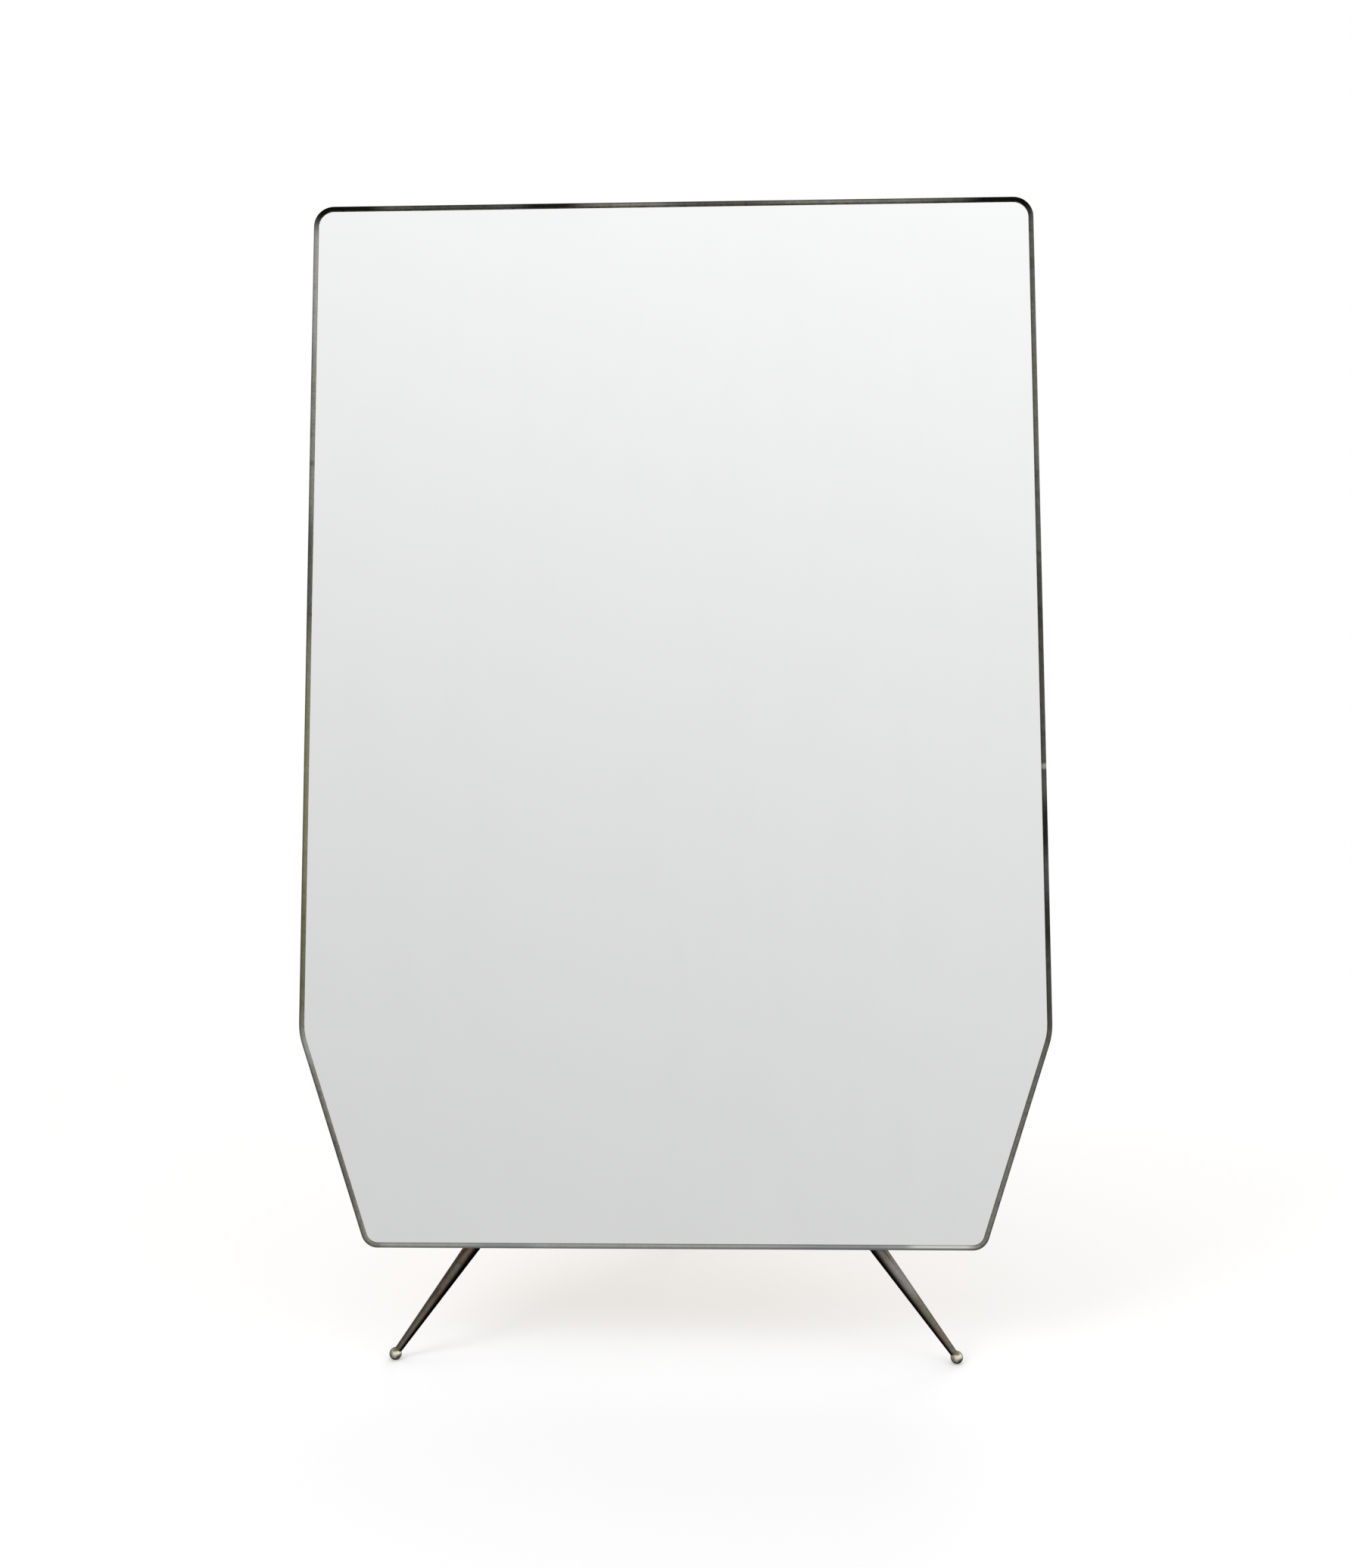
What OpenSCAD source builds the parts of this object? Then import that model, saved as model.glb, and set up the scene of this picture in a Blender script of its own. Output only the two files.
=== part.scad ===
// A full-length standing mirror. A thin crowned rim holds a six-sided glass on a board that leans back a
// little. Two splayed, tapered legs with ball feet carry it, and a hinged rear leg props it from behind.

/* [Panel] */
// Width of the rim over its top corners
top_w = 1006; // [960:1:1024]
// Width of the rim at the knees, its widest place
knee_w = 1030; // [1010:1:1080]
// Width of the rim along its bottom edge
bottom_w = 842; // [760:1:900]
// Height of the rim, measured along the leaning panel
panel_h = 1448; // [1300:1:1520]
// Height of the knees over the bottom edge
knee_h = 290; // [220:1:340]
// Outer radius of the two top corners
top_r = 28; // [18:1:60]
// Outer radius of the two knees
knee_r = 90; // [60:1:160]
// Outer radius of the two bottom corners
bottom_r = 23; // [16:1:50]
// Height of the rim's bottom edge over the floor
stand_h = 164; // [140:1:190]
// Backward lean of the panel, in degrees
lean = 6; // [4:0.5:9]

/* [Rim] */
// Width of the crowned face
face_w = 6.6; // [5.6:0.1:8]
// Thickness of the lip at the crown's top
lip_t = 2.6; // [2.2:0.1:4]
// Radius of the crown across the face
crown_r = 5.5; // [4.6:0.1:12]
// Thickness of the side wall
wall_t = 1.8; // [1.6:0.1:2.6]
// How far the wall stands past the board's back
rim_proud = 0.4; // [0:0.1:2]
// Height of the joints between the rim's two halves over the bottom edge
splice_h = 655; // [480:1:900]
// Open gap at each joint
splice_gap = 0.4; // [0.1:0.1:1]

/* [Glass and board] */
// Thickness of the glass
glass_t = 5; // [4:0.5:6]
// Space between the glass and the rim's wall, filled by the setting blocks below
edge_gap = 1.5; // [1:0.1:2]
// Length of a setting block
block_l = 60; // [30:1:120]
// Distance between the centres of the two setting blocks
block_spread = 480; // [300:1:600]
// Thickness of the felt behind the glass
felt_t = 1; // [0.5:0.1:2]
// Thickness of the board
board_t = 15; // [12:1:20]
// Space between the board and the rim's wall
board_gap = 0.3; // [0.1:0.1:0.6]

/* [Splice plates] */
// Length of a splice plate along the rim
splice_l = 72; // [60:1:100]
// Width of a splice plate
splice_w = 10; // [8:0.5:11]
// Thickness of a splice plate
splice_t = 1.5; // [1:0.1:2.5]
// Distance from the joint to the nearer screw of a splice plate
splice_near = 11; // [9:1:14]
// Distance from the joint to the farther screw of a splice plate
splice_far = 27; // [22:1:29]

/* [Leg rail] */
// Height of the rail's lower edge over the rim's bottom edge
rail_rise = 14; // [10:1:24]
// Height of the rail
rail_h = 74; // [66:1:100]
// Thickness of the rail
rail_t = 30; // [30:1:36]
// Bevel along the rail's upper rear edge and its ends
rail_bevel = 5; // [2:1:8]
// Length of the slanted seat that each leg plate lies on
seat_l = 54; // [52:1:60]
// Distance between the columns of rail screws
rail_screw_x = 175; // [120:1:185]
// Distance between the two rows of rail screws
rail_screw_y = 38; // [30:1:46]

/* [Front legs] */
// Distance between the centres of the two front ball feet
foot_spread = 772; // [700:1:840]
// Angle between a front leg and the upright, in degrees
leg_splay = 36; // [30:0.5:40]
// Diameter of a front leg at its top
leg_top_d = 22.8; // [18:0.1:24]
// Diameter of a front leg at its ball foot
leg_tip_d = 10; // [8:0.1:12]
// Bevel round a leg's top edge
leg_bevel = 0.8; // [0.4:0.1:1.5]

/* [Ball feet] */
// Diameter of a ball foot
ball_d = 17; // [15:0.5:22]
// Diameter of the small flat that a ball stands on
flat_d = 5.4; // [3:0.2:8]
// Diameter of the peg that holds a ball in its leg
peg_d = 5; // [4:0.5:6]
// Length of the peg past the ball
peg_l = 14; // [10:1:20]

/* [Leg plates] */
// Length of a leg plate
plate_l = 50; // [48:1:52]
// Width of a leg plate
plate_w = 28; // [26:1:29]
// Thickness of a leg plate
plate_t = 3; // [2.5:0.5:5]
// Corner radius of a leg plate
plate_r = 12.5; // [6:0.5:12.5]
// Distance from the stud to each screw of a leg plate
plate_screw_x = 18; // [17:0.5:19]
// Diameter of the stud
stud_d = 8; // [6:1:10]
// Length of the stud inside the leg
stud_in_leg = 22; // [14:1:30]
// Length of the stud inside the rail
stud_in_rail = 26; // [18:1:30]

/* [Cross batten] */
// Height of the hinge and of the batten's middle over the rim's bottom edge
hinge_h = 840; // [760:1:900]
// Width of the batten
batten_w = 520; // [480:1:700]
// Height of the batten
batten_h = 110; // [104:1:150]
// Thickness of the batten
batten_t = 22; // [20:1:28]
// Bevel along the batten's four rear edges
batten_bevel = 5; // [2:1:8]
// Distance of the inner batten screws from the middle
batten_screw_in = 85; // [60:1:110]
// Distance of the outer batten screws from the middle
batten_screw_out = 220; // [160:1:225]
// Distance between the two rows of batten screws
batten_screw_y = 64; // [50:1:74]

/* [Hinge bracket] */
// Width of the bracket's plate
bracket_w = 60; // [56:1:80]
// Height of the bracket's plate
bracket_h = 90; // [84:1:100]
// Thickness of the bracket's plate
bracket_t = 4; // [3:0.5:6]
// Corner radius of the bracket's plate
bracket_r = 9; // [4:1:14]
// Bevel along the straight edges of the bracket's plate
bracket_bevel = 1.2; // [0.5:0.1:2]
// Distance between the bracket's screws, across
bracket_screw_x = 42; // [38:1:44]
// Distance between the bracket's screws, upwards
bracket_screw_y = 68; // [60:1:72]
// Distance of the hinge pin from the bracket's plate
pin_stand = 18; // [17:0.5:24]
// Thickness of an ear
ear_t = 5; // [4:0.5:7]
// Radius of an ear round the pin
ear_r = 10; // [8:0.5:11]
// Width of an ear where it meets the plate
ear_base = 30; // [24:1:34]
// Size of the slanted root outside each ear
ear_root = 3; // [1:0.5:4]

/* [Hinge pin] */
// Diameter of the hinge pin
pin_d = 8; // [6:0.5:9]
// Diameter of the pin's domed head
pin_head_d = 14; // [13:0.5:18]
// Height of the pin's domed head
pin_head_h = 4; // [3:0.5:6]
// Outer diameter of the washer
washer_d = 16; // [15:0.5:20]
// Thickness of the washer
washer_t = 1.2; // [0.8:0.1:2]
// Width of the domed nut across its corners
nut_d = 14; // [13:0.5:16]
// Height of the nut's six-sided part
nut_h = 6; // [5:0.5:8]
// Height of the nut's dome
nut_dome_h = 5; // [4:0.5:7]
// How much narrower the nut's dome is than its flats
nut_step = 1; // [0.5:0.1:1.5]
// How far the pin reaches into the nut's dome
pin_past_nut = 1; // [0.5:0.1:1.5]

/* [Rear leg] */
// Distance from the front ball feet back to the rear one
prop_reach = 540; // [480:1:600]
// Diameter of the rear leg at its top
rear_top_d = 24; // [21:0.5:26]
// Diameter of the rear leg at its ball foot
rear_tip_d = 11; // [9:0.5:13]
// Wall of the rear leg
tube_wall = 1.8; // [1.2:0.1:2.4]
// Radius of the knuckle round the pin
knuckle_r = 9.5; // [8:0.5:11]
// Thickness of the knuckle between the ears
knuckle_t = 14; // [10:1:16]
// Height of the heel that stops against the bracket's plate
heel_h = 20; // [14:1:24]
// Bevel of the heel's upper corner
heel_bevel = 2; // [1:0.5:3]
// Distance from the pin down to the knuckle's collar
collar_drop = 19; // [18:1:26]
// Length of the knuckle's collar
collar_l = 8; // [5:1:12]
// Bevel round the collar's upper edge
collar_bevel = 1.5; // [0.5:0.1:2]
// Length of the knuckle's spigot inside the leg
spigot_l = 36; // [24:1:50]
// Diameter of the pin across the spigot
cross_pin_d = 4; // [3:0.5:5]
// Length of solid metal between the ball's peg and the rear leg's bore
solid_tip_l = 10; // [4:1:20]

/* [Screws] */
// Head diameter of the screws through the rim
rim_screw_head_d = 5; // [4.2:0.1:5.4]
// Shank diameter of the screws through the rim
rim_screw_d = 2.6; // [2:0.1:3]
// Length of the screws through the rim
rim_screw_l = 16; // [12:1:24]
// Longest distance between neighbouring screws of the rim
rim_screw_gap = 270; // [200:1:400]
// Head diameter of the wood screws
wood_screw_head_d = 8; // [6.5:0.1:8.4]
// Shank diameter of the wood screws
wood_screw_d = 4; // [3:0.1:4.5]
// How deep the rail's and batten's screws reach into the board
board_bite = 10; // [7:0.5:11]
// Length of the bracket's screws
bracket_screw_l = 22; // [16:1:23]
// Head diameter of the leg plates' screws
plate_screw_head_d = 6; // [5:0.1:6.4]
// Shank diameter of the leg plates' screws
plate_screw_d = 3; // [2.5:0.1:3.4]
// Length of the leg plates' screws
plate_screw_l = 20; // [14:1:22]
// Width of a screw's slot
slot_w = 0.9; // [0.6:0.1:1.2]

/* [Clearances] */
// Space round pieces that are fixed in one another
fit = 0.05; // [0.02:0.01:0.1]
// Space between the hinge pin and the knuckle that turns on it
run_gap = 0.06; // [0.02:0.01:0.1]
// Space between the knuckle and each ear
side_gap = 0.3; // [0.2:0.05:0.6]
// Space left between the heel and the plate with the leg open
heel_gap = 0.1; // [0.05:0.05:0.3]

/* [Hidden] */

brass = [0.40, 0.37, 0.29];
bright_brass = [0.80, 0.74, 0.58];
steel = [0.62, 0.62, 0.60];
silver = [0.86, 0.87, 0.88];
plywood = [0.74, 0.60, 0.42];
hardwood = [0.45, 0.29, 0.17];
felt = [0.20, 0.22, 0.20];
cork = [0.62, 0.46, 0.30];

// Degrees of arc between two points of a rounded outline
arc_step = 5;
// Sides of round pieces in a preview
round_fn = 64;
// Overlap that fuses the straight and bent lengths of the rim into one piece
lap = 0.1;
// How much less the bent lengths measure on every side than the straight ones
bend_step = 0.02;
// Length by which cutting shapes pass the faces that they cut
cut = 1;
// Free depth past the end of a screw, peg or stud
end_gap = 0.5;
// Depth of a screw's slot
slot_h = 0.8;
// Length of a screw's point
point_l = 3;
// Diameter of a screw's blunt tip
point_d = 0.6;
// Straight edge below the domes of the hinge pin and its nut
dome_edge = 1;

// The panel is drawn flat: x across, y up the panel from its middle, z out of its front face.
low = -panel_h / 2;
rim_corners = [
    [-bottom_w / 2, low, bottom_r],
    [bottom_w / 2, low, bottom_r],
    [knee_w / 2, low + knee_h, knee_r],
    [top_w / 2, low + panel_h, top_r],
    [-top_w / 2, low + panel_h, top_r],
    [-knee_w / 2, low + knee_h, knee_r]
];
// Numbers of the rim's corners, and of the edges that run from them to the next, anticlockwise
bottom_left = 0;
bottom_right = 1;
knee_right = 2;
top_right = 3;
top_left = 4;
knee_left = 5;

// Depths from the crown's top back to the parts behind it
glass_z = -lip_t;
felt_z = glass_z - glass_t;
board_z = felt_z - felt_t;
back_z = board_z - board_t;
board_mid_z = board_z - board_t / 2;
rim_back_z = back_z - rim_proud;
glass_inset = wall_t + edge_gap;
board_inset = wall_t + board_gap;

// Distance from the floor up the leaning front plane to the panel's middle
mid_rise = stand_h / cos(lean) + panel_h / 2;

// Where a point of the flat drawing comes to lie, back from the line where its front plane meets the floor
function back_of(y, z) = (y + mid_rise) * sin(lean) - z * cos(lean);
// Height over the floor of a point of the flat drawing
function height_of(y, z) = (y + mid_rise) * cos(lean) + z * sin(lean);

ball_r = ball_d / 2;
// Height of a ball's centre over the floor, and distance from a ball's centre to its peg's end
ball_h = sqrt(pow(ball_r, 2) - pow(flat_d / 2, 2));
peg_end = ball_r + peg_l;

// Front legs: axis in the middle of the rail's thickness, foot on the floor, seat on the rail's slanted
// corner
leg_z = back_z - rail_t / 2;
foot_y = (ball_h - leg_z * sin(lean)) / cos(lean) - mid_rise;
foot_x = foot_spread / 2;
rail_low = low + rail_rise;
seat_y = rail_low + seat_l / 2 * sin(leg_splay);
seat_s = (seat_y - foot_y) / cos(leg_splay);
seat_x = foot_x - seat_s * sin(leg_splay);
rail_end_x = seat_x + seat_l / 2 * cos(leg_splay);
plate_s = seat_s - fit - plate_t;

// Hinge and rear leg
splice_y = low + splice_h;
hinge_y = low + hinge_h;
batten_back_z = back_z - batten_t;
bracket_back_z = batten_back_z - bracket_t;
hinge_z = bracket_back_z - pin_stand;
ear_in = knuckle_t / 2 + side_gap;
ear_out = ear_in + ear_t;
front_foot_back = back_of(foot_y, leg_z);
rear_foot_back = front_foot_back + prop_reach;
prop_run = rear_foot_back - back_of(hinge_y, hinge_z);
prop_climb = height_of(hinge_y, hinge_z) - ball_h;
prop_tilt = atan2(prop_run, prop_climb);
prop_l = norm([prop_run, prop_climb]);
// Angle between the open rear leg and the back of the panel: the whole travel of the hinge
fold_angle = prop_tilt + lean;
tube_top = prop_l - collar_drop - collar_l;
spigot_r = rear_top_d / 2 - tube_wall - fit;
cross_pin_s = tube_top - spigot_l / 2;

// The origin is on the floor, in the middle of the object's depth
front_reach = back_of(low + face_w / 2, 0);
origin_back = (front_reach + rear_foot_back + ball_r) / 2;

// Rounded outlines: each corner of a closed anticlockwise list is [x, y, radius]
function wrap(list, i) = list[(i + len(list)) % len(list)];
function corner(list, i) = [wrap(list, i)[0], wrap(list, i)[1]];
function corner_r(list, i) = wrap(list, i)[2];
function along(angle) = [cos(angle), sin(angle)];
function heading(list, i) = let (d = corner(list, i + 1) - corner(list, i)) atan2(d[1], d[0]);
function turn(list, i) = (heading(list, i) - heading(list, i - 1) + 720) % 360;
function bend_start(list, i) = heading(list, i - 1) - 90;
function bend_reach(list, i) = corner_r(list, i) * tan(turn(list, i) / 2);
function bend_centre(list, i) =
    let (half = turn(list, i) / 2)
    corner(list, i) - corner_r(list, i) / cos(half) * along(bend_start(list, i) + half);
function arc(list, i, inset) =
    let (steps = max(2, ceil(turn(list, i) / arc_step)), r = corner_r(list, i) - inset)
    [for (k = [0 : steps]) bend_centre(list, i) + r * along(bend_start(list, i) + turn(list, i) * k / steps)];
function rounded(list, inset = 0) = [for (i = [0 : len(list) - 1], p = arc(list, i, inset)) p];
function box_corners(w, h, r) = [
    [-w / 2, -h / 2, r],
    [w / 2, -h / 2, r],
    [w / 2, h / 2, r],
    [-w / 2, h / 2, r]
];

// Straight runs of the rim, each from one point to the next along its outer edge
function run_start(i) = corner(rim_corners, i) + bend_reach(rim_corners, i) * along(heading(rim_corners, i));
function run_end(i) =
    corner(rim_corners, i + 1) - bend_reach(rim_corners, i + 1) * along(heading(rim_corners, i));
function at_height(i, y) =
    let (a = corner(rim_corners, i), b = corner(rim_corners, i + 1))
    a + (y - a[1]) / (b[1] - a[1]) * (b - a);
upper_joint = splice_y + splice_gap / 2;
lower_joint = splice_y - splice_gap / 2;
upper_runs = [
    [at_height(knee_right, upper_joint), run_end(knee_right)],
    [run_start(top_right), run_end(top_right)],
    [run_start(top_left), at_height(top_left, upper_joint)]
];
lower_runs = [
    [at_height(top_left, lower_joint), run_end(top_left)],
    [run_start(knee_left), run_end(knee_left)],
    [run_start(bottom_left), run_end(bottom_left)],
    [run_start(bottom_right), run_end(bottom_right)],
    [run_start(knee_right), at_height(knee_right, lower_joint)]
];

// Stands what was drawn flat up on the floor, leaning back
module on_panel() {
    translate([0, back_of(0, 0) - origin_back, height_of(0, 0)]) rotate([90 - lean, 0, 0]) children();
}

// Draws along a front leg: z from the ball's centre up the leg, x along the leg plate
module along_leg(side) {
    translate([side * foot_x, foot_y, leg_z]) rotate([0, 0, side * leg_splay]) rotate([-90, 0, 0]) children();
}

// Draws along the rear leg: z from the ball's centre up to the hinge pin
module along_prop() {
    translate([0, rear_foot_back - origin_back, ball_h]) rotate([prop_tilt, 0, 0]) children();
}

// Draws at the hinge: x along the pin, z towards the bracket's plate
module at_hinge() {
    on_panel() translate([0, hinge_y, hinge_z]) children();
}

// Draws at a point of the rim's outer edge: x out of the side wall, y along the rim
module at_rim(point, direction) {
    translate([point[0], point[1], board_mid_z]) rotate([0, 0, direction - 90]) children();
}

// A countersunk slotted screw, its head's face at z = 0 and its point below
module screw(head_d, shank_d, length) {
    difference() {
        rotate_extrude($fn = round_fn) polygon([
            [0, 0],
            [head_d / 2, 0],
            [shank_d / 2, -(head_d - shank_d) / 2],
            [shank_d / 2, point_l - length],
            [point_d / 2, -length],
            [0, -length]
        ]);
        translate([-head_d / 2 - cut, -slot_w / 2, -slot_h]) cube([head_d + 2 * cut, slot_w, slot_h + cut]);
    }
}

// The hole that a screw of these sizes fills
module screw_hole(head_d, shank_d, length) {
    head_r = head_d / 2 + fit;
    shank_r = shank_d / 2 + fit;
    rotate_extrude($fn = round_fn) polygon([
        [0, cut],
        [head_r, cut],
        [head_r, 0],
        [shank_r, -(head_d - shank_d) / 2],
        [shank_r, -length - end_gap],
        [0, -length - end_gap]
    ]);
}

module rim_screw() {
    screw(rim_screw_head_d, rim_screw_d, rim_screw_l);
}

module rim_screw_hole() {
    screw_hole(rim_screw_head_d, rim_screw_d, rim_screw_l);
}

// Places its children, drawn as a screw, along straight runs of the rim
module along_runs(runs) {
    for (run = runs) {
        way = run[1] - run[0];
        count = ceil(norm(way) / rim_screw_gap);
        for (k = [0 : count - 1]) {
            at_rim(run[0] + (k + 0.5) / count * way, atan2(way[1], way[0])) rotate([0, 90, 0]) children();
        }
    }
}

// Places its children, drawn as a screw, through one splice plate: edge is the rim's edge that it lies on
module through_splice(edge, sides = [-1, 1]) {
    at_rim(at_height(edge, splice_y), heading(rim_corners, edge)) {
        for (side = sides, distance = [splice_near, splice_far]) {
            translate([0, side * distance, 0]) rotate([0, 90, 0]) children();
        }
    }
}

module rim_profile(less = 0) {
    intersection() {
        translate([less - face_w, less - lip_t]) square([face_w - 2 * less, lip_t]);
        translate([-face_w / 2, -crown_r]) circle(crown_r - less, $fn = 96);
    }
    translate([less - wall_t, rim_back_z + less]) square([wall_t - 2 * less, -lip_t - rim_back_z]);
}

module rim_bar(run) {
    way = run[1] - run[0];
    middle = (run[0] + run[1]) / 2;
    translate([middle[0], middle[1], 0])
        rotate([0, 0, atan2(way[1], way[0]) - 90])
            rotate([90, 0, 0])
                linear_extrude(norm(way) + 2 * lap, center = true) rim_profile();
}

module rim_bend(i) {
    middle = bend_centre(rim_corners, i);
    translate([middle[0], middle[1], 0])
        rotate([0, 0, bend_start(rim_corners, i)])
            rotate_extrude(angle = turn(rim_corners, i), $fn = 180)
                translate([corner_r(rim_corners, i), 0]) rim_profile(bend_step);
}

module frame_upper() {
    color(brass) on_panel() difference() {
        union() {
            for (run = upper_runs) rim_bar(run);
            for (i = [top_right, top_left]) rim_bend(i);
        }
        along_runs(upper_runs) rim_screw_hole();
        through_splice(knee_right, [1]) rim_screw_hole();
        through_splice(top_left, [-1]) rim_screw_hole();
    }
}

module frame_lower() {
    color(brass) on_panel() difference() {
        union() {
            for (run = lower_runs) rim_bar(run);
            for (i = [knee_left, bottom_left, bottom_right, knee_right]) rim_bend(i);
        }
        along_runs(lower_runs) rim_screw_hole();
        through_splice(knee_right, [-1]) rim_screw_hole();
        through_splice(top_left, [1]) rim_screw_hole();
    }
}

module frame_screws() {
    color(brass) on_panel() along_runs(concat(upper_runs, lower_runs)) rim_screw();
}

module splice_screws() {
    color(brass) on_panel() {
        for (edge = [knee_right, top_left]) through_splice(edge) rim_screw();
    }
}

// A plate behind the rim's wall, grown by a margin where it is used to cut its pocket
module splice_block(edge, margin) {
    at_rim(at_height(edge, splice_y), heading(rim_corners, edge))
        translate([-wall_t - fit - splice_t - margin, -splice_l / 2 - margin, -splice_w / 2 - margin])
            cube([splice_t + 2 * margin, splice_l + 2 * margin, splice_w + 2 * margin]);
}

module splice_plate(edge) {
    color(steel) on_panel() difference() {
        splice_block(edge, 0);
        through_splice(edge) rim_screw_hole();
    }
}

module splice_plate_left() {
    splice_plate(top_left);
}

module splice_plate_right() {
    splice_plate(knee_right);
}

module mirror_glass() {
    color(silver) on_panel()
        translate([0, 0, felt_z]) linear_extrude(glass_t) polygon(rounded(rim_corners, glass_inset));
}

module setting_blocks() {
    color(cork) on_panel() {
        for (side = [-1, 1]) {
            translate([side * block_spread / 2 - block_l / 2, low + wall_t, felt_z])
                cube([block_l, edge_gap, glass_t]);
        }
    }
}

module backing_felt() {
    color(felt) on_panel()
        translate([0, 0, board_z]) linear_extrude(felt_t) polygon(rounded(rim_corners, glass_inset));
}

module back_board() {
    color(plywood) on_panel() difference() {
        translate([0, 0, back_z]) linear_extrude(board_t) polygon(rounded(rim_corners, board_inset));
        for (edge = [knee_right, top_left]) splice_block(edge, board_gap);
        along_runs(concat(upper_runs, lower_runs)) rim_screw_hole();
        for (edge = [knee_right, top_left]) through_splice(edge) rim_screw_hole();
        at_rail_screws() screw_hole(wood_screw_head_d, wood_screw_d, rail_t + board_bite);
        at_batten_screws() screw_hole(wood_screw_head_d, wood_screw_d, batten_t + board_bite);
    }
}

// A block's outline from one side: from a to b, from 0 down to -t, with a bevel at each lower corner
module bevelled_outline(a, b, t, bevel_a, bevel_b) {
    polygon([
        [a, 0],
        [a, bevel_a - t],
        [a + bevel_a, -t],
        [b - bevel_b, -t],
        [b, bevel_b - t],
        [b, 0]
    ]);
}

// A block of this width, its ends and its upper and lower edges bevelled round the face at z = -t
module bevelled_block(w, bottom, top, t, bevel, lower_bevel) {
    intersection() {
        rotate([90, 0, 90]) linear_extrude(w + 2 * cut, center = true)
            bevelled_outline(bottom, top, t, lower_bevel, bevel);
        translate([0, top + cut, 0]) rotate([90, 0, 0]) linear_extrude(top - bottom + 2 * cut)
            bevelled_outline(-w / 2, w / 2, t, bevel, bevel);
    }
}

module at_rail_screws() {
    for (x = [-rail_screw_x, 0, rail_screw_x], y = [-rail_screw_y / 2, rail_screw_y / 2]) {
        translate([x, rail_low + rail_h / 2 + y, back_z - rail_t]) rotate([180, 0, 0]) children();
    }
}

module at_batten_screws() {
    rows = [-batten_screw_y / 2, batten_screw_y / 2];
    for (side = [-1, 1], x = [batten_screw_in, batten_screw_out], y = rows) {
        translate([side * x, hinge_y + y, batten_back_z]) rotate([180, 0, 0]) children();
    }
}

module at_bracket_screws() {
    for (x = [-bracket_screw_x / 2, bracket_screw_x / 2], y = [-bracket_screw_y / 2, bracket_screw_y / 2]) {
        translate([x, hinge_y + y, bracket_back_z]) rotate([180, 0, 0]) children();
    }
}

module at_plate_screws(side) {
    for (x = [-plate_screw_x, plate_screw_x]) {
        along_leg(side) translate([x, 0, plate_s]) rotate([180, 0, 0]) children();
    }
}

module plate_screw_hole() {
    screw_hole(plate_screw_head_d, plate_screw_d, plate_screw_l);
}

// The corner that is cut off the rail so that a leg plate lies square to its leg
module rail_corner(side) {
    along_leg(side) translate([-seat_l, -rail_t, seat_s - seat_l]) cube([2 * seat_l, 2 * rail_t, seat_l]);
}

module leg_rail() {
    color(hardwood) on_panel() difference() {
        translate([0, 0, back_z])
            bevelled_block(2 * rail_end_x, rail_low, rail_low + rail_h, rail_t, rail_bevel, 0);
        at_rail_screws() screw_hole(wood_screw_head_d, wood_screw_d, rail_t + board_bite);
        for (side = [-1, 1]) {
            rail_corner(side);
            at_plate_screws(side) plate_screw_hole();
            along_leg(side) translate([0, 0, seat_s - cut])
                cylinder(stud_in_rail + end_gap + cut, r = stud_d / 2 + fit, $fn = round_fn);
        }
    }
}

module rail_screws() {
    color(steel) on_panel() at_rail_screws() screw(wood_screw_head_d, wood_screw_d, rail_t + board_bite);
}

module cross_batten() {
    half = batten_h / 2;
    color(hardwood) on_panel() difference() {
        translate([0, hinge_y, back_z])
            bevelled_block(batten_w, -half, half, batten_t, batten_bevel, batten_bevel);
        at_batten_screws() screw_hole(wood_screw_head_d, wood_screw_d, batten_t + board_bite);
        at_bracket_screws() screw_hole(wood_screw_head_d, wood_screw_d, bracket_screw_l);
    }
}

module batten_screws() {
    color(steel) on_panel() at_batten_screws() screw(wood_screw_head_d, wood_screw_d, batten_t + board_bite);
}

module leg_plate(side) {
    color(brass) on_panel() difference() {
        along_leg(side) translate([0, 0, plate_s])
            linear_extrude(plate_t) polygon(rounded(box_corners(plate_l, plate_w, plate_r)));
        along_leg(side) cylinder(seat_s, r = stud_d / 2 + fit, $fn = round_fn);
        at_plate_screws(side) plate_screw_hole();
    }
}

module leg_plate_left() {
    leg_plate(-1);
}

module leg_plate_right() {
    leg_plate(1);
}

module leg_plate_screws() {
    color(brass) on_panel() {
        for (side = [-1, 1]) at_plate_screws(side) screw(plate_screw_head_d, plate_screw_d, plate_screw_l);
    }
}

module leg_stud(side) {
    color(steel) on_panel() along_leg(side)
        translate([0, 0, plate_s - stud_in_leg])
            cylinder(seat_s + stud_in_rail - plate_s + stud_in_leg, d = stud_d, $fn = round_fn);
}

module leg_stud_left() {
    leg_stud(-1);
}

module leg_stud_right() {
    leg_stud(1);
}

// The hollow at a leg's lower end that takes the ball and its peg
module ball_socket() {
    sphere(ball_r + fit, $fn = round_fn);
    cylinder(peg_end + end_gap, r = peg_d / 2 + fit, $fn = round_fn);
}

// Where a leg of this tip radius starts, well inside the ball's socket
function leg_start(tip_r) = sqrt(pow(ball_r, 2) - pow(tip_r, 2)) - cut;

module front_leg(side) {
    start = leg_start(leg_tip_d / 2);
    color(brass) on_panel() along_leg(side) difference() {
        rotate_extrude($fn = 96) polygon([
            [0, start],
            [leg_tip_d / 2, start],
            [leg_top_d / 2, plate_s - leg_bevel],
            [leg_top_d / 2 - leg_bevel, plate_s],
            [0, plate_s]
        ]);
        ball_socket();
        translate([0, 0, plate_s - stud_in_leg - end_gap])
            cylinder(stud_in_leg + end_gap + cut, r = stud_d / 2 + fit, $fn = round_fn);
    }
}

module front_leg_left() {
    front_leg(-1);
}

module front_leg_right() {
    front_leg(1);
}

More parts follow.
